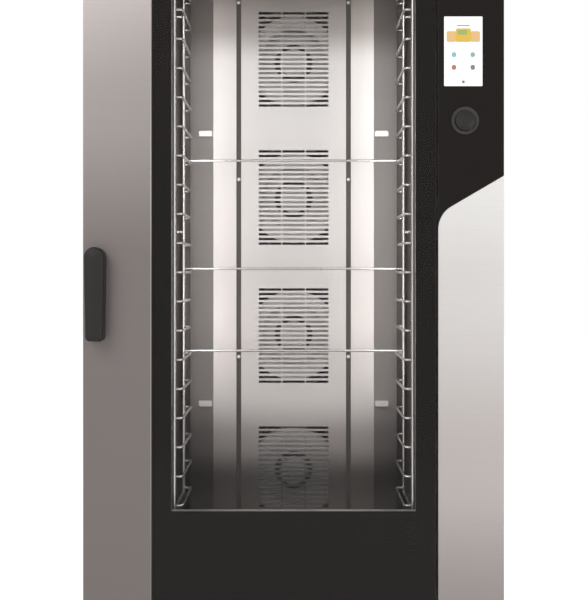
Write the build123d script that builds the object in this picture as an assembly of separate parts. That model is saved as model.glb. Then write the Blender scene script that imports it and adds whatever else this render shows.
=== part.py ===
from build123d import *
import math
import os

# Combi steamer oven, floor standing, for twenty GN 1/1 trays. Millimetres, +Z up, -Y to the front.
# Origin: centre of the footprint of the whole object, at the floor.

# Overall sizes
width = 930.0                 # over the side panels
overall_depth = 930.0         # from the handle's face to the ends of the rear pipe stubs
column_width = 145.0          # control column, right of the door
door_gap = 5.0                # air between the door's edge and the column
strip_width = 151.0           # steel cover along the door's handle side

# Trays and rack
tray_width = 530.0
tray_depth = 325.0
tray_side_gap = 1.0           # tray to upright, each side
tray_end_gap = 5.0
level_count = 20
level_pitch = 66.0
first_level = 116.0           # lowest runner above the cavity floor
top_clearance = 50.0          # highest runner to the cavity roof
upright_d = 8.0
runner_d = 6.0
runner_reach = 19.0           # runner's centre line inside the upright's centre line
rack_end = 16.0               # upright beyond its last runner
rack_wall_gap = 11.0
rack_setback = 24.0           # front uprights behind the cabinet's front plane
cross_rod_heights = (692.0, 893.0, 1158.0)
weld_gap = 0.05

# Heights
leg_height = 110.0
base_tube = 40.0
floor_space = 48.0
insulation = 40.0
sheet = 2.0
roof_space = 98.0
cover_height = 50.0
chimney_rise = 30.0
door_floor_gap = 136.0
door_top_gap = 10.0           # door to top cover

# Door build-up, front to back
handle_reach = 62.0
outer_glass = 6.0
mask_thickness = 1.0
frame_depth = 45.0
inner_glass = 5.0
seal_thickness = 8.7
seal_clearance = 0.3
seal_width = 14.0
seal_land = 2.0
cap_height = 18.0
window_width = 540.0
window_bottom = 355.0
window_top = 1620.0
edge_gap = 0.5                # glass to steel cover
pane_lap = 18.0               # inner pane past the cavity's mouth

# Hinge and latch
hinge_inset = 10.0            # hinge axis from the door's front and right faces
pin_r = 5.0
bush_wall = 2.0
running_gap = 0.05
press_gap = 0.02
bracket_thickness = 8.0
bracket_gap = 1.5
lever_x = -434.6
lever_z = 916.0
lever_head_r = 23.0
lever_tip_width = 40.0
lever_drop = 183.0
lever_thickness = 24.0
lever_edge = 6.0
plate_thickness = 10.0
latch_shaft_r = 6.0
roller_r = 9.0
roller_gap = 2.0

# Controls
panel_right_z = 1097.0        # where the steel front panel's slope meets the right edge
panel_slope = 30.3            # degrees
panel_round = 58.0
panel_seam = 0.6
control_glass = 6.0
display_width = 86.0
display_height = 155.0
display_x = 375.0
display_z = 1372.0
knob_x = 379.0
knob_z = 1218.6
knob_r = 23.0
knob_ring_r = 30.4
knob_height = 14.0
knob_push = 1.5

# Air system
guard_gap = 70.0              # rack to fan guard
fan_space = 171.0             # fan guard to back wall
fan_pitch = 344.4
first_fan = 142.0             # lowest fan above the cavity floor
fan_count = 4
wheel_r = 112.0
wheel_inlet_r = 80.0
wheel_hub_r = 34.0
wheel_ring_r = 48.0
wheel_depth = 56.0
wheel_setback = 34.0          # wheel behind the guard
blade_count = 12
fan_shaft_r = 7.0
heater_r = 130.0
heater_tube_r = 4.2
slot_rows = 21
slot_pitch = 11.5
slot_height = 6.0
slot_block = 173.6
slot_bridge = 3.0
groove_x = 136.7
groove_width = 12.0
fold_x = 200.0
baffle_edge_x = 259.0
baffle_sweep = 30.0
screw_heights = (674.0, 1116.0, 1557.0)
tab_heights = (557.0, 1230.0)

# Services
stub_length = 25.0
drain_r = 22.0
chimney_r = 30.0
inlet_r = 13.2
gland_bore_r = 9.0

# Worked-out planes
half = width / 2
door_front = -overall_depth / 2 + handle_reach
mask_y = door_front + outer_glass
frame_y = mask_y + mask_thickness
pane_y = frame_y + frame_depth
door_back = pane_y + inner_glass
cabinet_front = door_back + seal_clearance + seal_thickness
rear_face = overall_depth / 2 - stub_length
column_left = half - column_width
door_right = column_left - door_gap
strip_right = -half + strip_width
base_top = leg_height + base_tube
cavity_floor = base_top + floor_space + insulation + sheet
cavity_height = first_level + (level_count - 1) * level_pitch + top_clearance
cavity_top = cavity_floor + cavity_height
body_top = cavity_top + sheet + insulation + roof_space
upright_x = tray_width / 2 + tray_side_gap + upright_d / 2
cavity_half = upright_x + upright_d / 2 + rack_wall_gap
rack_front = cabinet_front + rack_setback
rack_rear = rack_front + tray_depth + tray_end_gap
guard_y = rack_rear + guard_gap
cavity_back = guard_y + fan_space
bulkhead_y = cavity_back + sheet + insulation
liner_front = cabinet_front + sheet
door_bottom = door_floor_gap
door_top = body_top - door_top_gap
hinge_x = door_right - hinge_inset
hinge_y = door_front + hinge_inset
fan_heights = [cavity_floor + first_fan + i * fan_pitch for i in range(fan_count)]
level_heights = [cavity_floor + first_level + i * level_pitch for i in range(level_count)]
bush_r = pin_r + running_gap + bush_wall

# Places of the services
drain_y = -60.0
drain_z = base_top + drain_r + 1
chimney_y = 150.0
inlet_xs = (-380.0, -320.0)
inlet_z = base_top + 40
gland_x = 380.0
gland_z = base_top + 60


def block(x0, x1, y0, y1, z0, z1):
    """Box between two corners."""
    return Pos((x0 + x1) / 2, (y0 + y1) / 2, (z0 + z1) / 2) * Box(x1 - x0, y1 - y0, z1 - z0)


def rod_x(x0, x1, y, z, r):
    return Pos((x0 + x1) / 2, y, z) * Rot(0, 90, 0) * Cylinder(r, x1 - x0)


def rod_y(x, y0, y1, z, r):
    return Pos(x, (y0 + y1) / 2, z) * Rot(90, 0, 0) * Cylinder(r, y1 - y0)


def rod_z(x, y, z0, z1, r):
    return Pos(x, y, (z0 + z1) / 2) * Cylinder(r, z1 - z0)


def facing(sketch, y0, y1):
    """Extrude an outline drawn in X and Z from y0 back to y1."""
    return Pos(0, y0, 0) * extrude(Plane.XZ * sketch, amount=y0 - y1)


def ring_y(x, y0, y1, z, outer_r, inner_r):
    return rod_y(x, y0, y1, z, outer_r) - rod_y(x, y0 - 1, y1 + 1, z, inner_r)


def save(name, *shapes):
    """Write every solid of the shapes to one STEP file."""
    solids = [solid for shape in shapes for solid in shape.solids()]
    export_step(Compound(solids) if len(solids) > 1 else solids[0], f"parts/{name}.step")


def cabinet():
    """Legs, base frame, posts, skins and roof."""
    leg_x = half - 60
    leg_ys = (cabinet_front + 50, rear_face - 60)
    corners = [(sx * leg_x, y) for sx in (-1, 1) for y in leg_ys]
    foot_height = 42.0
    save("feet", *[rod_z(x, y, 0, foot_height, 26) for x, y in corners])
    save("leg_tubes", *[rod_z(x, y, foot_height, leg_height, 20) for x, y in corners])

    rail = base_tube
    frame_box = block(-half + sheet, half - sheet, cabinet_front, rear_face - sheet, leg_height, base_top)
    well = block(-half + sheet + rail, half - sheet - rail, cabinet_front + rail, rear_face - sheet - rail,
                 leg_height - 1, base_top + 1)
    save("base_frame", frame_box - well)
    post = 30.0
    post_ys = (liner_front + 8, rear_face - sheet - post)
    posts = []
    for side in (-1, 1):
        for y in post_ys:
            x = side * (half - sheet - post / 2)
            posts.append(block(x - post / 2, x + post / 2, y, y + post, base_top, body_top - sheet))
    save("corner_posts", *posts)
    save("left_side_panel", block(-half, -half + sheet, cabinet_front, rear_face, leg_height, body_top))
    save("right_side_panel", block(half - sheet, half, door_front + control_glass, rear_face, leg_height, body_top))

    rear = block(-half + sheet, half - sheet, rear_face - sheet, rear_face, leg_height, body_top)
    for side in (-1, 1):
        for i in range(10):
            z = base_top + 1150 + i * 22
            rear -= block(side * 300 - 90, side * 300 + 90, rear_face - sheet - 1, rear_face + 1, z, z + 7)
    rear -= rod_y(0, rear_face - 9, rear_face + 1, drain_z, drain_r + 1)
    for x in inlet_xs:
        rear -= rod_y(x, rear_face - 9, rear_face + 1, inlet_z, inlet_r + 0.5)
    rear -= rod_y(gland_x, rear_face - 9, rear_face + 1, gland_z, gland_bore_r + 6.5)
    save("rear_panel", rear)

    cover = block(-half, half, door_front, rear_face, body_top, body_top + cover_height)
    cover -= block(-half + sheet, half - sheet, door_front + sheet, rear_face - sheet,
                   body_top - 1, body_top + cover_height - sheet)
    cover -= rod_z(0, chimney_y, body_top, body_top + cover_height + 1, chimney_r + 1)
    save("top_cover", cover)

    plate = block(-half + sheet, column_left, cabinet_front, liner_front, base_top, body_top)
    plate -= block(-cavity_half, cavity_half, cabinet_front - 1, liner_front + 1, cavity_floor, cavity_top)
    save("front_plate", plate)
    rails = [block(x - 15, x + 15, liner_front, rear_face - sheet - rail, base_top, base_top + floor_space)
             for x in (-200, 200)]
    save("cavity_rails", *rails)


def oven_chamber():
    """Liner, insulation, seal, drain and chimney."""
    outer = cavity_half + sheet
    back = cavity_back + sheet
    floor = block(-outer, outer, liner_front, back, cavity_floor - sheet, cavity_floor)
    floor -= rod_z(0, drain_y, cavity_floor - sheet - 1, cavity_floor + 1, drain_r - 2)
    roof = block(-outer, outer, liner_front, back, cavity_top, cavity_top + sheet)
    roof -= rod_z(0, chimney_y, cavity_top - 1, cavity_top + sheet + 1, chimney_r - 3)
    sides = [block(*sorted((side * cavity_half, side * outer)), liner_front, back, cavity_floor, cavity_top)
             for side in (-1, 1)]
    back_sheet = block(-cavity_half, cavity_half, cavity_back, back, cavity_floor, cavity_top)
    for z in fan_heights:
        back_sheet -= rod_y(0, cavity_back - 1, back + 1, z, fan_shaft_r + 4)
    save("cavity_liner", floor, roof, *sides, back_sheet)

    wool_x = outer + insulation
    wool_y = bulkhead_y
    low = cavity_floor - sheet
    high = cavity_top + sheet
    floor_wool = block(-wool_x, wool_x, liner_front, wool_y, low - insulation, low)
    roof_wool = block(-wool_x, wool_x, liner_front, wool_y, high, high + insulation)
    back_wool = block(-outer, outer, cavity_back + sheet, wool_y, low, high)
    floor_wool -= rod_z(0, drain_y, low - insulation - 1, low + 1, drain_r + 1)
    roof_wool -= rod_z(0, chimney_y, high - 1, high + insulation + 1, chimney_r + 1)
    for z in fan_heights:
        back_wool -= rod_y(0, cavity_back, wool_y + 1, z, fan_shaft_r + 4)
    left_wool = block(-wool_x, -outer, liner_front, wool_y, low, high)
    right_wool = block(outer, wool_x, liner_front, wool_y, low, high)
    save("insulation_slabs", floor_wool, roof_wool, back_wool, left_wool, right_wool)

    seal_in = cavity_half + seal_land
    seal_low = cavity_floor - seal_land
    seal_high = cavity_top + seal_land
    seal_front = cabinet_front - seal_thickness
    seal = block(-seal_in - seal_width, seal_in + seal_width, seal_front, cabinet_front,
                 seal_low - seal_width, seal_high + seal_width)
    seal -= block(-seal_in, seal_in, seal_front - 1, cabinet_front + 1, seal_low, seal_high)
    save("door_seal", seal)

    bend = 60.0
    top = Vector(0, drain_y, cavity_floor - sheet)
    corner = Vector(0, drain_y, drain_z)
    end = Vector(0, rear_face, drain_z)
    path = FilletPolyline(top, corner, end, radius=bend * 0.4)
    pipe = sweep(Plane(origin=top, z_dir=(0, 0, -1)) * Circle(drain_r), path=path)
    bore = sweep(Plane(origin=top, z_dir=(0, 0, -1)) * Circle(drain_r - 2), path=path)
    spigot = ring_y(0, rear_face, rear_face + stub_length, drain_z, drain_r - 0.5, drain_r - 2)
    save("drain_pipe", pipe - bore + spigot)
    strainer = rod_z(0, drain_y, cavity_floor, cavity_floor + 3, drain_r + 8)
    for ring_r, holes in ((8, 6), (18, 12)):
        for i in range(holes):
            a = 2 * math.pi * i / holes
            strainer -= rod_z(ring_r * math.cos(a), drain_y + ring_r * math.sin(a), cavity_floor - 1,
                              cavity_floor + 4, 2.5)
    save("drain_strainer", strainer)
    flue_low = cavity_top + sheet
    flue_high = body_top + cover_height + chimney_rise
    flue = rod_z(0, chimney_y, flue_low, flue_high, chimney_r)
    save("chimney", flue - rod_z(0, chimney_y, flue_low - 1, flue_high + 1, chimney_r - 2))


def tray_rack():
    """Two lift-out side racks of bent wire, with cross rods and wall studs."""
    low = level_heights[0] - rack_end
    high = level_heights[-1] + rack_end
    inner = upright_x - runner_reach
    leg_end = upright_x - upright_d / 2 - weld_gap
    turn = 9.0
    for side, name in ((-1, "left_rack"), (1, "right_rack")):
        wires = [rod_z(side * upright_x, y, low, high, upright_d / 2) for y in (rack_front, rack_rear)]
        for z in (low + 5, high - 5):
            wires.append(rod_y(side * upright_x, rack_front + upright_d / 2 + weld_gap,
                               rack_rear - upright_d / 2 - weld_gap, z, runner_d / 2))
        path = FilletPolyline((side * leg_end, rack_front, 0), (side * inner, rack_front, 0),
                              (side * inner, rack_rear, 0), (side * leg_end, rack_rear, 0), radius=turn)
        section = Plane(origin=(side * leg_end, rack_front, 0), z_dir=(-side, 0, 0)) * Circle(runner_d / 2)
        runner = sweep(section, path=path)
        wires += [Pos(0, 0, z) * runner for z in level_heights]
        save(name, *wires)
    reach = upright_x - upright_d / 2 - weld_gap
    save("rack_cross_rods", *[rod_x(-reach, reach, rack_rear, z, runner_d / 2) for z in cross_rod_heights])
    studs = []
    for side in (-1, 1):
        ends = sorted((side * (upright_x + upright_d / 2 + weld_gap), side * cavity_half))
        for y in (rack_front, rack_rear):
            for i in (1, 9, 17):
                studs.append(rod_x(*ends, y, level_heights[i] + level_pitch / 2, 5))
    save("rack_studs", *studs)


def air_system():
    """Slotted fan guard, baffles, heaters, fan wheels and motors."""
    low = cavity_floor + 6
    high = cavity_top - 6
    middle = (low + high) / 2
    edge = groove_x - groove_width / 2
    outline = Pos(0, middle) * Rectangle(2 * edge, high - low)
    slot_w = (slot_block - 2 * slot_bridge) / 3
    holes = []
    for z in fan_heights:
        holes += [Pos(0, z) * loc for loc in GridLocations(slot_w + slot_bridge, slot_pitch, 3, slot_rows)]
    slots = Sketch() + [loc * Rectangle(slot_w, slot_height) for loc in holes]
    save("fan_guard", facing(outline - slots, guard_y, guard_y + sheet))

    near = groove_x + groove_width / 2
    profile = Polygon((near, guard_y), (fold_x, guard_y), (baffle_edge_x, guard_y + baffle_sweep),
                      (baffle_edge_x, guard_y + baffle_sweep + sheet), (fold_x, guard_y + sheet),
                      (near, guard_y + sheet), align=None)
    baffle = Pos(0, 0, low) * extrude(profile, amount=high - low)
    for z in tab_heights:
        baffle += block(fold_x + 4, fold_x + 36, guard_y - 4, guard_y + 9, z - 7, z + 7)
    save("right_baffle", baffle)
    save("left_baffle", mirror(baffle, about=Plane.YZ))

    carriers = []
    web = groove_width / 2 + 2
    for side in (-1, 1):
        x = side * groove_x
        hat = block(x - web - 14, x + web + 14, guard_y + sheet, guard_y + 2 * sheet, low, high)
        hat += block(x - web, x + web, guard_y + sheet, guard_y + 10, low, high)
        hat -= block(x - web + sheet, x + web - sheet, guard_y, guard_y + 10 - sheet, low - 1, high + 1)
        carriers.append(hat)
    save("baffle_carriers", *carriers)
    posts = [rod_y(side * groove_x, guard_y + 10, cavity_back, z, 7) for side in (-1, 1) for z in screw_heights]
    screws = [rod_y(side * groove_x, guard_y + 2, guard_y + 10 - sheet, z, 4)
              for side in (-1, 1) for z in screw_heights]
    save("baffle_fixings", *posts, *screws)

    front = guard_y + wheel_setback
    back = front + wheel_depth
    for number, z in enumerate(fan_heights, start=1):
        shaft = rod_y(0, back, bulkhead_y + sheet + 90, z, fan_shaft_r)
        save(f"fan_rotor_{number}", Pos(0, back, z) * Rot(90, 0, 0) * fan_wheel(), shaft)
    heaters = []
    for z in fan_heights:
        for y in (front + 8, front + 26, front + 44):
            heaters.append(Pos(0, y, z) * Rot(90, 0, 0) * Torus(heater_r, heater_tube_r))
        for x in (-24, 24):
            drop = math.sqrt(heater_r ** 2 - x ** 2)
            heaters.append(rod_y(x, front + 44 + heater_tube_r + weld_gap, cavity_back, z + drop, heater_tube_r))
    save("heater_rings", *heaters)

    plate = block(-half + sheet + 31, half - sheet - 31, bulkhead_y, bulkhead_y + sheet,
                  base_top + floor_space, cavity_top)
    motors = []
    for z in fan_heights:
        plate -= rod_y(0, bulkhead_y - 1, bulkhead_y + sheet + 1, z, fan_shaft_r + 4)
        body = rod_y(0, bulkhead_y + sheet, bulkhead_y + sheet + 8, z, 70)
        body += rod_y(0, bulkhead_y + sheet + 8, bulkhead_y + sheet + 104, z, 52)
        motors.append(body - rod_y(0, bulkhead_y, bulkhead_y + sheet + 92, z, fan_shaft_r + running_gap))
    save("motor_bulkhead", plate)
    save("fan_motors", *motors)


def fan_wheel():
    """Radial wheel standing on its back disc, inlet upwards."""
    disc = Cylinder(wheel_r, 3, align=(Align.CENTER, Align.CENTER, Align.MIN))
    hub_rise = 30.0
    wheel = disc + Cylinder(wheel_hub_r, hub_rise, align=(Align.CENTER, Align.CENTER, Align.MIN))
    ring = Cylinder(wheel_ring_r, 20) - Cylinder(wheel_hub_r + 1, 20)
    for i in range(2):
        ring -= Rot(0, 0, 45 + i * 90) * Box(2 * wheel_r, 6, 20)
    wheel -= ring
    for i in range(blade_count):
        blade = Pos((wheel_inlet_r + wheel_r) / 2 - 1, 0, wheel_depth / 2) * Rot(0, 0, 30) * \
            Box(wheel_r - wheel_inlet_r - 4, 2, wheel_depth)
        wheel += Rot(0, 0, i * 360 / blade_count) * blade
    shroud = Pos(0, 0, wheel_depth - 3) * (disc - Cylinder(wheel_inlet_r, 20))
    return wheel + shroud


def door():
    """Glazed door with steel cover, frame, end caps and bushes."""
    glass_left = strip_right + edge_gap
    glass_low = door_bottom + cap_height
    glass_high = door_top - cap_height
    window = window_width / 2
    save("door_outer_glass", block(glass_left, door_right, door_front, mask_y, glass_low, glass_high))
    mask = block(glass_left, door_right, mask_y, frame_y, glass_low, glass_high)
    mask -= block(-window, window, mask_y - 1, frame_y + 1, window_bottom, window_top)
    save("door_glass_mask", mask)

    frame = block(-half + sheet, door_right, frame_y, pane_y, glass_low, glass_high)
    frame -= block(-half + 2 * sheet, door_right - sheet, frame_y - 1, pane_y - sheet,
                   glass_low + sheet, glass_high - sheet)
    rim = window + 2 * sheet
    frame += block(-rim, rim, frame_y, pane_y, window_bottom - 2 * sheet, window_top + 2 * sheet)
    rim -= sheet
    frame -= block(-rim, rim, frame_y - 1, pane_y + 1, window_bottom - sheet, window_top + sheet)
    frame -= rod_y(lever_x, frame_y - 1, pane_y + 1, lever_z, latch_shaft_r + 1)
    save("door_frame", frame)

    pane_x = cavity_half + pane_lap
    save("door_inner_glass", block(-pane_x, pane_x, pane_y, door_back, cavity_floor - pane_lap,
                                   cavity_top + pane_lap))
    cover = block(-half, strip_right, door_front, pane_y, glass_low, glass_high)
    cover -= block(-half + sheet, strip_right - sheet, door_front + sheet, pane_y + 1,
                   glass_low - 1, glass_high + 1)
    cover -= block(-half + sheet, strip_right + 1, frame_y, pane_y + 1, glass_low - 1, glass_high + 1)
    cover -= rod_y(lever_x, door_front - 1, door_front + sheet + 1, lever_z, latch_shaft_r + 1)
    save("door_side_cover", cover)

    caps = []
    bushes = []
    for low in (door_bottom, glass_high):
        cap = block(-half, door_right, door_front, door_back, low, low + cap_height)
        caps.append(cap - rod_z(hinge_x, hinge_y, low - 1, low + cap_height + 1, bush_r + press_gap))
        bush = rod_z(hinge_x, hinge_y, low, low + cap_height, bush_r)
        bushes.append(bush - rod_z(hinge_x, hinge_y, low - 1, low + cap_height + 1, pin_r + running_gap))
    save("door_end_caps", *caps)
    save("hinge_bushes", *bushes)

    shelf = bracket_thickness
    low_top = door_bottom - bracket_gap
    high_low = door_top + bracket_gap
    reach = (hinge_x - 12, hinge_x + 8, hinge_y - 8, cabinet_front)
    save("hinge_brackets", block(*reach, low_top - shelf, low_top), block(*reach, high_low, body_top))
    save("hinge_pins", rod_z(hinge_x, hinge_y, low_top, door_bottom + cap_height - 2, pin_r),
         rod_z(hinge_x, hinge_y, door_top - cap_height + 2, high_low, pin_r))
    bars = [block(side * (window + 10) - 5, side * (window + 10) + 5, frame_y + 8, frame_y + 16, 420, 1560)
            for side in (-1, 1)]
    save("door_light_bars", *bars)


def lever_outline(grow):
    """Round head over a tapered tail with rounded ends."""
    r = lever_head_r + grow
    tip = lever_tip_width / 2 + grow
    tail = Polygon((lever_x - r, lever_z), (lever_x - tip, lever_z - lever_drop),
                   (lever_x + tip, lever_z - lever_drop), (lever_x + r, lever_z), align=None)
    tail = fillet(tail.vertices().group_by(Axis.Y)[0], 9)
    return tail + Pos(lever_x, lever_z) * Circle(r)


def door_handle():
    """Turning lever on a shaft through the door, roller and keeper."""
    lever_front = -overall_depth / 2
    lever_back = lever_front + lever_thickness
    plate_front = door_front - plate_thickness
    lever = facing(lever_outline(0), lever_front, lever_back)
    lever = fillet(lever.faces().sort_by(Axis.Y)[0].edges(), lever_edge)
    lever += rod_y(lever_x, lever_back, plate_front - 0.3, lever_z, 15)
    bore_start = lever_back - 10
    lever -= rod_y(lever_x, bore_start, plate_front, lever_z, latch_shaft_r + press_gap)
    save("handle_lever", lever)
    plate = facing(lever_outline(-1), plate_front, door_front)
    plate -= rod_y(lever_x, plate_front - 1, door_front + 1, lever_z, latch_shaft_r + 1)
    save("handle_plate", plate)
    save("latch_bush", ring_y(lever_x, door_front + sheet, pane_y - sheet, lever_z, 11,
                              latch_shaft_r + running_gap))
    save("latch_shaft", rod_y(lever_x, bore_start, door_back + 6, lever_z, latch_shaft_r))
    roller = ring_y(lever_x, door_back - 1, door_back + 6, lever_z, roller_r, latch_shaft_r + press_gap)
    save("latch_roller", roller)
    slot = roller_r + roller_gap
    keeper = block(lever_x - 16, lever_x + 16, door_back + 1, cabinet_front, lever_z - 23, lever_z + 23)
    keeper -= block(lever_x - 17, lever_x + 17, door_back, cabinet_front - 1.5, lever_z - slot, lever_z + slot)
    save("latch_keeper", keeper)


def front_column():
    """Steel panel, glass control panel, display, knob and boards."""
    rise = column_width * math.tan(math.radians(panel_slope))
    outline = Polygon((column_left, door_bottom), (half, door_bottom), (half, panel_right_z),
                      (column_left, panel_right_z - rise), align=None)
    corner = outline.vertices().sort_by(Axis.X)[:2].sort_by(Axis.Y)[-1]
    outline = fillet(corner, panel_round)
    back = door_front + control_glass
    panel = facing(outline, door_front, back) - facing(offset(outline, amount=-sheet), door_front + sheet, back + 1)
    save("right_front_panel", panel)
    whole = Pos((column_left + half) / 2, (door_bottom + body_top) / 2) * \
        Rectangle(column_width, body_top - door_bottom)
    glass = whole - offset(outline, amount=panel_seam)
    glass -= Pos(display_x, display_z) * Rectangle(display_width, display_height)
    glass -= Pos(knob_x, knob_z) * Circle(knob_ring_r - 3)
    glass = Sketch() + [glass.faces().sort_by(Axis.Y)[-1]]
    save("control_panel", facing(glass, door_front, back))
    save("touchscreen", block(display_x - display_width / 2, display_x + display_width / 2, door_front, back,
                              display_z - display_height / 2, display_z + display_height / 2))
    inner_edge = block(column_left, column_left + sheet, back, cabinet_front, door_bottom, body_top)
    backing = block(column_left + sheet, half - sheet, back, back + sheet, door_bottom, body_top)
    backing -= rod_y(knob_x, back - 1, back + sheet + 1, knob_z, 10)
    save("column_housing", inner_edge + backing)
    control_board = block(display_x - 40, display_x + 60, back + sheet, back + sheet + 14, 1300, 1500)
    power_board = block(half - sheet - 40, half - sheet, -120, 160, 700, 1150)
    save("circuit_boards", control_board, power_board)

    ring = ring_y(knob_x, door_front - 4, door_front, knob_z, knob_ring_r, knob_r + 0.5)
    ring += ring_y(knob_x, door_front, back, knob_z, knob_ring_r - 3, knob_r + 0.5)
    save("knob_ring", ring)
    shaft_r = 4.0
    knob_front = door_front - knob_height
    knob = rod_y(knob_x, knob_front, door_front + 2, knob_z, knob_r)
    knob = fillet(knob.edges().filter_by(GeomType.CIRCLE).sort_by(Axis.Y)[0], 3)
    knob -= rod_y(knob_x, knob_front + 4, door_front + 3, knob_z, shaft_r + running_gap)
    save("control_knob", knob)
    save("encoder_shaft", rod_y(knob_x, knob_front + 4 + knob_push, back + 16, knob_z, shaft_r))
    save("encoder_body", ring_y(knob_x, back + sheet, back + sheet + 20, knob_z, 12, shaft_r + running_gap))


def services():
    """Water inlets, cable gland and steam tank."""
    inlets = []
    for x in inlet_xs:
        stem = rod_y(x, rear_face - 12, rear_face + stub_length, inlet_z, inlet_r)
        stem += rod_y(x, rear_face - 20, rear_face - sheet, inlet_z, inlet_r + 5)
        inlets.append(stem - rod_y(x, rear_face - 21, rear_face + stub_length + 1, inlet_z, 9))
    save("water_inlets", *inlets)
    gland = rod_y(gland_x, rear_face - sheet - 12, rear_face - sheet, gland_z, gland_bore_r + 9)
    gland += rod_y(gland_x, rear_face - sheet, rear_face + 14, gland_z, gland_bore_r + 6)
    save("cable_gland", gland - rod_y(gland_x, rear_face - 20, rear_face + 20, gland_z, gland_bore_r))
    tank_x = -cavity_half - sheet - insulation - 66
    save("steam_tank", rod_z(tank_x, 120, base_top, base_top + 420, 60))


os.makedirs("parts", exist_ok=True)
cabinet()
oven_chamber()
tray_rack()
air_system()
door()
door_handle()
front_column()
services()
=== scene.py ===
import math

import bpy
import numpy as np
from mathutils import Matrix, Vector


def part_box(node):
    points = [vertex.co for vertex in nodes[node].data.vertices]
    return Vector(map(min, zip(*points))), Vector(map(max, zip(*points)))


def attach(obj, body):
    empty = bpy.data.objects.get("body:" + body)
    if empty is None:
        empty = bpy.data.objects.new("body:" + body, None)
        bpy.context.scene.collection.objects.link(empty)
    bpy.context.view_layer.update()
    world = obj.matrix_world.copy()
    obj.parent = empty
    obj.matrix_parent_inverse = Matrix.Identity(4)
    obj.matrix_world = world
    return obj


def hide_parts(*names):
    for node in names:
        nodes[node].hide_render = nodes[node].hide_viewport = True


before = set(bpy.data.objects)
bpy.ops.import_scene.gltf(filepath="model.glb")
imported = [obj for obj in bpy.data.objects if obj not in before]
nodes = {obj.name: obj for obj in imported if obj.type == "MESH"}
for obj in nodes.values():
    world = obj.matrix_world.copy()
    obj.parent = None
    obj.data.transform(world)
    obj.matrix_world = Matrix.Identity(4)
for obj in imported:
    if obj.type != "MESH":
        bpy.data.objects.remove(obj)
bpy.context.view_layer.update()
scene = bpy.context.scene
print("stage: frame loaded")

# the view: a long lens, level, in front of the middle of the tray space
viewSet = {"distance": 3.8, "height": 0.880, "spanWide": 1.299, "lift": -0.0442}
doorLow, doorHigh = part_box("door_side_cover")
doorFront = doorLow.y
camData = bpy.data.cameras.new("frontCamera")
cam = bpy.data.objects.new("frontCamera", camData)
scene.collection.objects.link(cam)
scene.camera = cam
cam.location = (0.001, doorFront - viewSet["distance"], viewSet["height"])
cam.rotation_euler = (math.radians(90), 0, 0)
camData.sensor_fit = "HORIZONTAL"
camData.sensor_width = 36
camData.lens = 36 * viewSet["distance"] / viewSet["spanWide"]
camData.shift_y = viewSet["lift"]      # the level line stands a little above the middle of the frame
camData.clip_end = 60
scene.view_settings.view_transform = "Standard"


# shader helpers

def newMaterial(name, base, rough, metal=0.0):
    mat = bpy.data.materials.new(name)
    mat.use_nodes = True
    shader = mat.node_tree.nodes["Principled BSDF"]
    shader.inputs["Base Color"].default_value = (*base, 1)
    shader.inputs["Roughness"].default_value = rough
    shader.inputs["Metallic"].default_value = metal
    return mat, mat.node_tree, shader


def objectPoint(tree):
    return tree.nodes.new("ShaderNodeTexCoord").outputs["Object"]


def makeGroup(name, wanted, given):
    # An empty shader group with named inputs and outputs.
    group = bpy.data.node_groups.new(name, "ShaderNodeTree")
    for label, kind, value in wanted:
        socket = group.interface.new_socket(label, in_out="INPUT", socket_type="NodeSocket" + kind)
        if value is not None:
            socket.default_value = value
    for label, kind in given:
        group.interface.new_socket(label, in_out="OUTPUT", socket_type="NodeSocket" + kind)
    return group, group.nodes.new("NodeGroupInput"), group.nodes.new("NodeGroupOutput")


def brushedGroup():
    # Fine lines: noise squeezed along one axis, its height shifting the colour and the gloss a little.
    group, start, end = makeGroup("brushedLines", [
        ("Point", "Vector", None), ("Stretch", "Vector", (4, 4, 900)), ("Base", "Color", (0.5, 0.5, 0.5, 1)),
        ("Rough", "Float", 0.3), ("Depth", "Float", 0.06)],
        [("Color", "Color"), ("Rough", "Float"), ("Height", "Float")])
    add, link = group.nodes.new, group.links.new
    scale = add("ShaderNodeVectorMath")
    scale.operation = "MULTIPLY"
    link(start.outputs["Point"], scale.inputs[0])
    link(start.outputs["Stretch"], scale.inputs[1])
    lines = add("ShaderNodeTexNoise")
    lines.inputs["Scale"].default_value = 1
    lines.inputs["Detail"].default_value = 3
    link(scale.outputs[0], lines.inputs["Vector"])
    cloud = add("ShaderNodeTexNoise")       # slow smears of handling
    cloud.inputs["Scale"].default_value = 3.5
    link(start.outputs["Point"], cloud.inputs["Vector"])
    tone = add("ShaderNodeMapRange")
    tone.inputs["To Min"].default_value = 0.94
    tone.inputs["To Max"].default_value = 1.06
    link(lines.outputs["Fac"], tone.inputs["Value"])
    tint = add("ShaderNodeVectorMath")
    tint.operation = "SCALE"
    link(start.outputs["Base"], tint.inputs[0])
    link(tone.outputs[0], tint.inputs["Scale"])
    link(tint.outputs[0], end.inputs["Color"])
    wear = add("ShaderNodeMath")
    wear.operation = "MULTIPLY_ADD"
    link(cloud.outputs["Fac"], wear.inputs[0])
    link(start.outputs["Depth"], wear.inputs[1])
    link(start.outputs["Rough"], wear.inputs[2])
    link(wear.outputs[0], end.inputs["Rough"])
    link(lines.outputs["Fac"], end.inputs["Height"])
    return group


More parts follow.
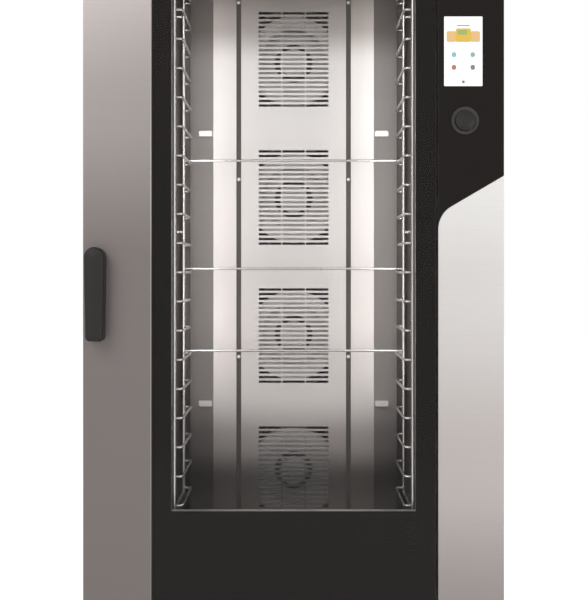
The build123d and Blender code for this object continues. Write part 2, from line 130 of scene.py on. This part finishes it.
def dustGroup():
    # Fine speckle and fingerprints that lift the gloss of plastic and glass.
    group, start, end = makeGroup("fineSpeckle", [
        ("Point", "Vector", None), ("Scale", "Float", 900.0), ("Base", "Color", (0.02, 0.02, 0.02, 1)),
        ("Rough", "Float", 0.3)], [("Color", "Color"), ("Rough", "Float"), ("Height", "Float")])
    add, link = group.nodes.new, group.links.new
    grain = add("ShaderNodeTexNoise")
    link(start.outputs["Point"], grain.inputs["Vector"])
    link(start.outputs["Scale"], grain.inputs["Scale"])
    smear = add("ShaderNodeTexNoise")
    smear.inputs["Scale"].default_value = 9
    link(start.outputs["Point"], smear.inputs["Vector"])
    tone = add("ShaderNodeMapRange")
    tone.inputs["To Min"].default_value = 0.85
    tone.inputs["To Max"].default_value = 1.15
    link(grain.outputs["Fac"], tone.inputs["Value"])
    tint = add("ShaderNodeVectorMath")
    tint.operation = "SCALE"
    link(start.outputs["Base"], tint.inputs[0])
    link(tone.outputs[0], tint.inputs["Scale"])
    link(tint.outputs[0], end.inputs["Color"])
    gloss = add("ShaderNodeMath")
    gloss.operation = "MULTIPLY_ADD"
    gloss.inputs[1].default_value = 0.12
    link(smear.outputs["Fac"], gloss.inputs[0])
    link(start.outputs["Rough"], gloss.inputs[2])
    link(gloss.outputs[0], end.inputs["Rough"])
    link(grain.outputs["Fac"], end.inputs["Height"])
    return group


brushed = brushedGroup()
speckle = dustGroup()


def useGroup(tree, shader, group, base, rough, bump, **values):
    # Place a group and feed the shader's colour, gloss and bump from it.
    use = tree.nodes.new("ShaderNodeGroup")
    use.node_tree = group
    tree.links.new(objectPoint(tree), use.inputs["Point"])
    use.inputs["Base"].default_value = (*base, 1)
    use.inputs["Rough"].default_value = rough
    for label, value in values.items():
        use.inputs[label].default_value = value
    relief = tree.nodes.new("ShaderNodeBump")
    relief.inputs["Strength"].default_value = bump
    relief.inputs["Distance"].default_value = 0.0004
    tree.links.new(use.outputs["Height"], relief.inputs["Height"])
    tree.links.new(relief.outputs["Normal"], shader.inputs["Normal"])
    tree.links.new(use.outputs["Color"], shader.inputs["Base Color"])
    tree.links.new(use.outputs["Rough"], shader.inputs["Roughness"])
    return use


def steel(name, base, rough, stretch, bump=0.15, metal=1.0):
    mat, tree, shader = newMaterial(name, base, rough, metal=metal)
    useGroup(tree, shader, brushed, base, rough, bump, Stretch=stretch, Depth=0.10)
    return mat


def plain(name, base, rough, bump=0.1, metal=0.0, scale=900.0, shine=0.5):
    mat, tree, shader = newMaterial(name, base, rough, metal=metal)
    shader.inputs["Specular IOR Level"].default_value = shine
    useGroup(tree, shader, speckle, base, rough, bump, Scale=scale)
    return mat


def paintedLightSteel(name, stops, rough, stretch):
    # Brushed steel with painted light: its tone runs with height, from a list of (height, colour), painting in the
    # reflections and shade that fall on it.
    mat, tree, shader = newMaterial(name, stops[0][1], rough, metal=0.55)
    use = useGroup(tree, shader, brushed, stops[0][1], rough, 0.12, Stretch=stretch, Depth=0.08)
    split = tree.nodes.new("ShaderNodeSeparateXYZ")
    tree.links.new(objectPoint(tree), split.inputs[0])
    span = tree.nodes.new("ShaderNodeMapRange")
    low, high = stops[0][0], stops[-1][0]
    span.inputs["From Min"].default_value = low
    span.inputs["From Max"].default_value = high
    tree.links.new(split.outputs["Z"], span.inputs["Value"])
    ramp = tree.nodes.new("ShaderNodeValToRGB")
    ramp.color_ramp.interpolation = "EASE"
    while len(ramp.color_ramp.elements) < len(stops):
        ramp.color_ramp.elements.new(0.5)
    for element, (height, colour) in zip(ramp.color_ramp.elements, stops):
        element.position = (height - low) / (high - low)
        element.color = (*colour, 1)
    tree.links.new(span.outputs[0], ramp.inputs[0])
    tree.links.new(ramp.outputs[0], use.inputs["Base"])
    return mat


# finishes, some with painted light and shade

finish = {
    # door cover: painted reflection, dark low down and brightening towards the top
    "doorCover": paintedLightSteel("doorCoverSteel", [(0.13, (0.17, 0.148, 0.140)), (0.9, (0.18, 0.155, 0.147)),
                                              (1.25, (0.28, 0.25, 0.24)), (1.75, (0.46, 0.415, 0.40))],
                           0.34, (3, 3, 700)),
    # column front: painted reflection, bright at the top fading to grey at the bottom
    "columnFront": paintedLightSteel("columnFrontSteel", [(0.13, (0.28, 0.25, 0.24)), (0.45, (0.44, 0.40, 0.385)),
                                                  (0.85, (0.60, 0.575, 0.56)), (1.1, (0.70, 0.685, 0.67))],
                             0.34, (3, 3, 700)),
    "outerSteel": steel("outerSteel", (0.50, 0.48, 0.47), 0.32, (3, 3, 700), metal=0.8),
    # fan guard and baffles: painted light and shade, a dark band low down, bright through the middle, darker again
    # at the top
    "guardSteel": paintedLightSteel("guardSteel", [(0.24, (0.26, 0.225, 0.21)), (0.37, (0.11, 0.092, 0.085)),
                                           (0.46, (0.36, 0.32, 0.31)), (0.58, (0.68, 0.64, 0.62)),
                                           (1.40, (0.78, 0.755, 0.74)), (1.50, (0.42, 0.38, 0.36)),
                                           (1.66, (0.22, 0.19, 0.18))], 0.36, (700, 700, 3)),
    "chamberSteel": steel("chamberSteel", (0.20, 0.175, 0.165), 0.34, (700, 700, 3), bump=0.06, metal=0.7),
    "wheelSteel": steel("wheelSteel", (0.62, 0.59, 0.575), 0.30, (200, 200, 200), bump=0.06, metal=0.7),
    # baffle carriers: dark steel, darkened further as painted shade for the gaps between the baffle panels
    "grooveShadeSteel": steel("grooveShadeSteel", (0.11, 0.095, 0.085), 0.45, (600, 600, 3), metal=0.6),
    "wireSteel": steel("wireSteel", (0.72, 0.69, 0.67), 0.22, (60, 900, 60), bump=0.05),
    "heaterSteel": steel("heaterSteel", (0.20, 0.18, 0.17), 0.4, (200, 200, 200)),
    "blackGlass": plain("blackGlass", (0.0095, 0.0070, 0.0058), 0.10, bump=0.0, shine=0.14),
    "blackPlastic": plain("blackPlastic", (0.013, 0.011, 0.010), 0.46, bump=0.15, scale=1400.0, shine=0.28),
    "ringPlastic": plain("ringPlastic", (0.040, 0.036, 0.034), 0.44, bump=0.1, scale=1400.0, shine=0.3),
    "sealRubber": plain("sealRubber", (0.02, 0.02, 0.02), 0.6, bump=0.3),
    "wool": plain("mineralWool", (0.50, 0.45, 0.28), 0.9, bump=0.9, scale=260.0),
    "board": plain("circuitBoard", (0.02, 0.10, 0.045), 0.35, bump=0.4, scale=300.0),
    "casting": plain("motorCasting", (0.42, 0.42, 0.43), 0.45, bump=0.5, metal=0.8, scale=500.0),
    "brass": plain("brassPart", (0.62, 0.43, 0.17), 0.3, metal=1.0),
}


def clearGlass():
    # Clear glass: a thin see-through skin with a plain gloss.
    mat, tree, shader = newMaterial("clearGlass", (0.04, 0.05, 0.05), 0.03)
    useGroup(tree, shader, speckle, (0.04, 0.05, 0.05), 0.0, 0.0, Scale=40.0)
    shader.inputs["Alpha"].default_value = 0.04
    return mat


def lampBar():
    mat, tree, shader = newMaterial("lampBar", (0.9, 0.88, 0.84), 0.4)
    useGroup(tree, shader, speckle, (0.9, 0.88, 0.84), 0.4, 0.05, Scale=200.0)
    shader.inputs["Emission Color"].default_value = (1, 0.97, 0.93, 1)
    shader.inputs["Emission Strength"].default_value = 0.6
    return mat


finish["glass"] = clearGlass()
finish["lamp"] = lampBar()

wears = {
    "doorCover": "door_side_cover",
    "columnFront": "right_front_panel",
    "guardSteel": "fan_guard left_baffle right_baffle",
    "chamberSteel": "cavity_liner drain_strainer",
    "wheelSteel": "fan_rotor_1 fan_rotor_2 fan_rotor_3 fan_rotor_4",
    "grooveShadeSteel": "baffle_carriers",
    "wireSteel": "left_rack right_rack rack_cross_rods rack_studs hinge_pins latch_shaft latch_roller "
                 "encoder_shaft baffle_fixings",
    "heaterSteel": "heater_rings",
    "blackGlass": "door_glass_mask control_panel touchscreen",
    "blackPlastic": "handle_lever control_knob cable_gland feet encoder_body latch_bush door_end_caps",
    "ringPlastic": "handle_plate knob_ring",
    "sealRubber": "door_seal",
    "wool": "insulation_slabs",
    "board": "circuit_boards",
    "casting": "fan_motors",
    "brass": "hinge_bushes water_inlets",
    "glass": "door_outer_glass door_inner_glass",
    "lamp": "door_light_bars",
}
dressed = {node: finish[key] for key, names in wears.items() for node in names.split()}
for name, obj in nodes.items():
    mat = dressed.get(name, finish["outerSteel"])
    for place in obj.material_slots:
        place.material = mat
    if not obj.material_slots:
        obj.data.materials.append(mat)
print("stage: finishes on", len(nodes), "nodes")


# new pieces: surfaces from numpy grids

def gridMesh(name, points, body, mat, closeU=False, capEnds=False, smooth=True):
    # points is rows by columns by 3; neighbouring points make quads, wrapped round when closeU.
    rows, cols = points.shape[:2]
    index = np.arange(rows * cols).reshape(rows, cols)
    right = np.roll(index, -1, axis=1) if closeU else index[:, 1:]
    left = index if closeU else index[:, :-1]
    faces = np.stack([left[:-1], right[:-1], right[1:], left[1:]], axis=-1).reshape(-1, 4).tolist()
    if capEnds:
        faces += [index[0, ::-1].tolist(), index[-1].tolist()]
    mesh = bpy.data.meshes.new(name)
    mesh.from_pydata(points.reshape(-1, 3).tolist(), [], faces)
    mesh.materials.append(mat)
    mesh.polygons.foreach_set("use_smooth", np.full(len(mesh.polygons), smooth))
    mesh.update()
    piece = bpy.data.objects.new(name, mesh)
    scene.collection.objects.link(piece)
    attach(piece, body)
    return piece


leverSet = {"headR": 0.0229, "tipHalf": 0.0199, "tipRound": 0.009, "crown": 0.0025, "edge": 0.008,
            "rings": 12, "around": 96, "thick": 0.0238, "neckR": 0.0150}


def leverOutline():
    # Distance from the head's centre: a round head joined to a tapered tail with a rounded square end.
    low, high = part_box("handle_lever")
    drop = high.z - low.z - leverSet["headR"]
    half = leverSet["around"] // 4
    top = np.linspace(0, np.pi, half * 2)
    head = np.stack([np.cos(top), np.sin(top)], axis=1) * leverSet["headR"]
    down = np.linspace(0, 1, half)[1:-1, None]
    r, tip, end = leverSet["tipRound"], leverSet["tipHalf"], -drop
    leftSide = np.array([[-leverSet["headR"], 0]]) * (1 - down) + np.array([[-tip, end + r]]) * down
    bend = np.linspace(np.pi, 1.5 * np.pi, 10)
    leftTurn = np.stack([-tip + r + r * np.cos(bend), end + r + r * np.sin(bend)], axis=1)
    rightTurn = leftTurn[::-1] * (-1, 1)
    rightSide = leftSide[::-1] * (-1, 1)
    return np.concatenate([head, leftSide, leftTurn, rightTurn, rightSide])


def handleLever():
    # The outline carried front to back, drawn in towards the front by a quarter round, with a crowned face.
    low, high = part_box("handle_lever")
    centre = np.array([(low.x + high.x) / 2, high.z - leverSet["headR"]])
    outline = leverOutline()
    spine = np.stack([np.zeros(len(outline)), np.clip(outline[:, 1], outline[:, 1].min() + 0.019, 0)], axis=1)
    thick = leverSet["thick"]
    swing = np.linspace(0, np.pi / 2, leverSet["rings"])
    inset = np.concatenate([[0.0022, 0.0006, 0], leverSet["edge"] * (1 - np.cos(swing)), [0.014, 0.019]])
    depth = np.concatenate([[thick, thick - 0.0012, thick - 0.003],
                            leverSet["edge"] * (1 - np.sin(swing)) + leverSet["crown"],
                            [leverSet["crown"] * 0.45, 0.0004]])
    away = outline - spine
    length = np.linalg.norm(away, axis=1, keepdims=True)
    rows = []
    for pull, back in zip(inset, depth):
        flat = spine + away * np.clip(1 - pull / length, 0.02, 1) + centre
        rows.append(np.stack([flat[:, 0], np.full(len(flat), low.y + back), flat[:, 1]], axis=1))
    piece = gridMesh("handle_lever_skin", np.array(rows), "handle", finish["blackPlastic"],
                     closeU=True, capEnds=True)
    neckR = leverSet["neckR"]
    turn = np.linspace(0, 2 * np.pi, 48, endpoint=False)
    flare = np.array([neckR + 0.003, neckR + 0.001, neckR, neckR, neckR + 0.001])
    along = np.array([low.y + thick, low.y + thick + 0.002, low.y + thick + 0.006, high.y - 0.003, high.y - 0.0005])
    ring = np.stack([centre[0] + np.outer(flare, np.cos(turn)), np.repeat(along[:, None], turn.size, 1),
                     centre[1] + np.outer(flare, np.sin(turn))], axis=-1)
    gridMesh("handle_neck", ring, "handle", finish["blackPlastic"], closeU=True, capEnds=True)
    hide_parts("handle_lever")


def lathe(name, radii, depths, centre, body, mat):
    # A profile of radius against depth, turned about a line along Y.
    turn = np.linspace(0, 2 * np.pi, 96, endpoint=False)
    x = centre[0] + np.outer(radii, np.cos(turn))
    z = centre[1] + np.outer(radii, np.sin(turn))
    y = np.repeat(np.array(depths)[:, None], turn.size, axis=1)
    return gridMesh(name, np.stack([x, y, z], axis=-1), body, mat, closeU=True, capEnds=True)


knobSet = {"clearance": 0.0003, "markInset": 0.0052}


def controlKnob():
    # A dished face with a rounded rim, turned as one profile.
    low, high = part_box("control_knob")
    centre = ((low.x + high.x) / 2, (low.z + high.z) / 2)
    r = (high.x - low.x) / 2 - knobSet["clearance"]
    radii = [r - 0.001, r - 0.0003, r, r, r - 0.0006, r - 0.002, r - 0.004, r * 0.66, r * 0.4, r * 0.05]
    depths = [high.y - 0.0003, high.y - 0.001, high.y - 0.003, low.y + 0.004, low.y + 0.0014, low.y + 0.0004,
              low.y + 0.0014, low.y + 0.0034, low.y + 0.0043, low.y + 0.0046]
    knob = lathe("knob_skin", radii, depths, centre, "knob", finish["blackPlastic"])
    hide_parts("control_knob")
    lathe("knob_mark", [0.0002, 0.0009, 0.0009, 0.0002], np.array([0.0012, 0.001, 0.0006, 0.0004]) + low.y,
          (centre[0], centre[1] + r - knobSet["markInset"]), "knob", finish["ringPlastic"])


screenSet = {"margin": 0.0006, "step": 0.0003, "tileTops": (0.0765, 0.1045), "tileHigh": 0.0215}


def flatPatch(name, x0, x1, z0, z1, y, mat, corner=0.0016):
    # A thin rounded rectangle facing the front.
    turn = np.linspace(0, 2 * np.pi, 32, endpoint=False)
    cx = np.where(np.cos(turn) > 0, x1 - corner, x0 + corner)
    cz = np.where(np.sin(turn) > 0, z1 - corner, z0 + corner)
    edge = np.stack([cx + corner * np.cos(turn), np.full(32, y), cz + corner * np.sin(turn)], axis=1)
    back = edge + (0, 0.0002, 0)
    return gridMesh(name, np.stack([back, edge]), "cabinet", mat, closeU=True, capEnds=True, smooth=False)


def glow(name, colour, strength=0.9):
    mat, tree, shader = newMaterial(name, colour, 0.35)
    useGroup(tree, shader, speckle, tuple(c * 0.35 for c in colour), 0.3, 0.0, Scale=600.0)
    shader.inputs["Emission Color"].default_value = (*colour, 1)
    shader.inputs["Emission Strength"].default_value = strength
    return mat


def touchDisplay():
    # A lit page with a picture strip, four tiles with plain shapes, and bars: no lettering.
    low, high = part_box("touchscreen")
    y = low.y - screenSet["step"]
    wide = high.x - low.x
    page = glow("pageGlow", (0.86, 0.86, 0.87))
    line = glow("lineGlow", (0.62, 0.63, 0.65))
    tile = glow("tileGlow", (0.95, 0.95, 0.95))
    margin = screenSet["margin"]
    flatPatch("display_page", low.x + margin, high.x - margin, low.z + margin, high.z - margin, y, page)
    step = screenSet["step"]
    tileHigh = screenSet["tileHigh"]
    top = high.z
    for number, (down, tall) in enumerate(((0.0155, 0.0004), (0.1375, 0.0004))):
        flatPatch(f"display_line_{number}", low.x + 0.005, high.x - 0.005, top - down - tall, top - down, y - step,
                  line, corner=0.0001)
    tints = {"leaf": (0.30, 0.42, 0.14), "crust": (0.72, 0.47, 0.20), "amber": (0.70, 0.45, 0.06),
             "dark": (0.20, 0.20, 0.21), "blue": (0.25, 0.45, 0.58), "green": (0.28, 0.42, 0.30),
             "rust": (0.42, 0.18, 0.10)}
    paint = {key: glow(key + "Glow", value, 0.75) for key, value in tints.items()}
    foodTop = top - 0.027
    foodLow = foodTop - 0.030
    flatPatch("display_dish_left", low.x + 0.006, low.x + 0.027, foodLow, foodTop - 0.006, y - step, paint["crust"],
              corner=0.004)
    flatPatch("display_dish_right", high.x - 0.027, high.x - 0.006, foodLow, foodTop - 0.006, y - step,
              paint["crust"], corner=0.004)
    flatPatch("display_dish", low.x + 0.026, high.x - 0.026, foodLow, foodTop, y - 2 * step, paint["amber"],
              corner=0.004)
    flatPatch("display_herb", low.x + 0.030, high.x - 0.034, foodTop - 0.014, foodTop - 0.003, y - 3 * step,
              paint["leaf"], corner=0.0045)
    marks = iter(("blue", "green", "rust", "dark"))
    for row, down in enumerate(screenSet["tileTops"]):
        for col in range(2):
            x0 = low.x + 0.0055 + col * (wide / 2 - 0.0015)
            x1 = x0 + wide / 2 - 0.0095
            z1 = top - down
            flatPatch(f"display_tile_edge_{row}{col}", x0 - 0.0004, x1 + 0.0004, z1 - 0.0219, z1 + 0.0004, y - step,
                      line)
            flatPatch(f"display_tile_{row}{col}", x0, x1, z1 - tileHigh, z1, y - 2 * step, tile)
            mid = (x0 + x1) / 2
            flatPatch(f"display_mark_{row}{col}", mid - 0.005, mid + 0.005, z1 - 0.014, z1 - 0.003, y - 3 * step,
                      paint[next(marks)], corner=0.0042)
            flatPatch(f"display_bar_{row}{col}", mid - 0.008, mid + 0.008, z1 - 0.0192, z1 - 0.0178, y - 3 * step,
                      line, corner=0.0006)
    flatPatch("display_home", (low.x + high.x) / 2 - 0.003, (low.x + high.x) / 2 + 0.003, low.z + 0.007,
              low.z + 0.013, y - step, paint["dark"])
    flatPatch("display_title", (low.x + high.x) / 2 - 0.014, (low.x + high.x) / 2 + 0.014, top - 0.0215,
              top - 0.0195, y - step, paint["dark"], corner=0.0008)


beadSet = {"round": 0.0018, "thickness": 0.0003}


def coverEdge():
    # A rolled bright bead down the steel cover's inner edge, beside a dark joint.
    low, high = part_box("door_side_cover")
    bend = np.linspace(0, np.pi / 2, 8)
    r = beadSet["round"]
    x = high.x - r + r * np.sin(bend)
    y = low.y + r - r * np.cos(bend)
    ends = np.array([low.z, high.z])
    grid = np.stack([np.tile(x, (2, 1)), np.tile(y - 0.0002, (2, 1)), np.tile(ends[:, None], (1, 8))], axis=-1)
    bead = gridMesh("cover_bead", grid, "door", finish["outerSteel"])
    thick = bead.modifiers.new("thickness", "SOLIDIFY")
    thick.thickness = beadSet["thickness"]
    thick.offset = -1


handleLever()
controlKnob()
touchDisplay()
coverEdge()
print("stage: new pieces made")

# floor, backdrop and light


def shownRays(tree):
    # One for a ray that shows the background: straight to the viewer, off metal, or through glass.
    rays = tree.nodes.new("ShaderNodeLightPath")
    either = rays.outputs["Is Camera Ray"]
    for label in ("Is Glossy Ray", "Is Transmission Ray"):
        larger = tree.nodes.new("ShaderNodeMath")
        larger.operation = "MAXIMUM"
        tree.links.new(either, larger.inputs[0])
        tree.links.new(rays.outputs[label], larger.inputs[1])
        either = larger.outputs[0]
    return either


whiteStage = bpy.data.materials.new("paleStage")
whiteStage.use_nodes = True
stageTree = whiteStage.node_tree
stageShader = stageTree.nodes["Principled BSDF"]
stageShader.inputs["Base Color"].default_value = (0.86, 0.86, 0.86, 1)
stageShader.inputs["Roughness"].default_value = 0.9
stageShader.inputs["Emission Color"].default_value = (1, 1, 1, 1)
lift = stageTree.nodes.new("ShaderNodeMapRange")
lift.inputs["To Max"].default_value = 0.62      # brightens the floor where it is seen
stageTree.links.new(shownRays(stageTree), lift.inputs["Value"])
stageTree.links.new(lift.outputs[0], stageShader.inputs["Emission Strength"])
floorReach = 20.0                      # metres each way, so that its edge stays far from every view
stagePoints = [(x, y, 0.0) for y in (-floorReach, floorReach) for x in (-floorReach, floorReach)]
stageMesh = bpy.data.meshes.new("paleFloor")
stageMesh.from_pydata(stagePoints, [], [(0, 1, 3, 2)])
stageMesh.materials.append(whiteStage)
paleFloor = bpy.data.objects.new("paleFloor", stageMesh)
scene.collection.objects.link(paleFloor)

world = bpy.data.worlds.new("softWorld")
scene.world = world
world.use_nodes = True
sky = world.node_tree.nodes["Background"]
sky.inputs["Color"].default_value = (1, 1, 1, 1)
level = world.node_tree.nodes.new("ShaderNodeMapRange")
level.inputs["To Min"].default_value = 0.45
level.inputs["To Max"].default_value = 1.0
world.node_tree.links.new(shownRays(world.node_tree), level.inputs["Value"])
world.node_tree.links.new(level.outputs[0], sky.inputs["Strength"])


def softLamp(name, place, aim, size, power, tint=(1, 1, 1)):
    lampData = bpy.data.lights.new(name, "AREA")
    lampData.shape = "RECTANGLE"
    lampData.size, lampData.size_y = size
    lampData.energy = power
    lampData.color = tint
    lampObject = bpy.data.objects.new(name, lampData)
    scene.collection.objects.link(lampObject)
    lampObject.location = place
    turn = np.array(aim) - np.array(place)
    flat = math.hypot(turn[0], turn[1])
    lampObject.rotation_euler = (math.atan2(flat, -turn[2]), 0, math.atan2(-turn[0], turn[1]) if flat else 0)


softLamp("keyLamp", (-1.8, -3.6, 3.0), (0, 0, 1.0), (2.2, 2.2), 70)
softLamp("fillLamp", (2.4, -3.2, 1.6), (0, 0, 1.0), (2.0, 2.4), 32)
softLamp("backLamp", (0.8, 3.2, 3.4), (0, 0, 1.0), (2.0, 2.0), 45)
for side in (-1, 1):
    softLamp(f"chamberLamp{side}", (side * 0.24, -0.25, 1.10), (side * 0.02, 0.12, 1.10), (0.03, 1.0), 1.1,
             (1, 0.97, 0.95))

print("stage: light and floor ready")
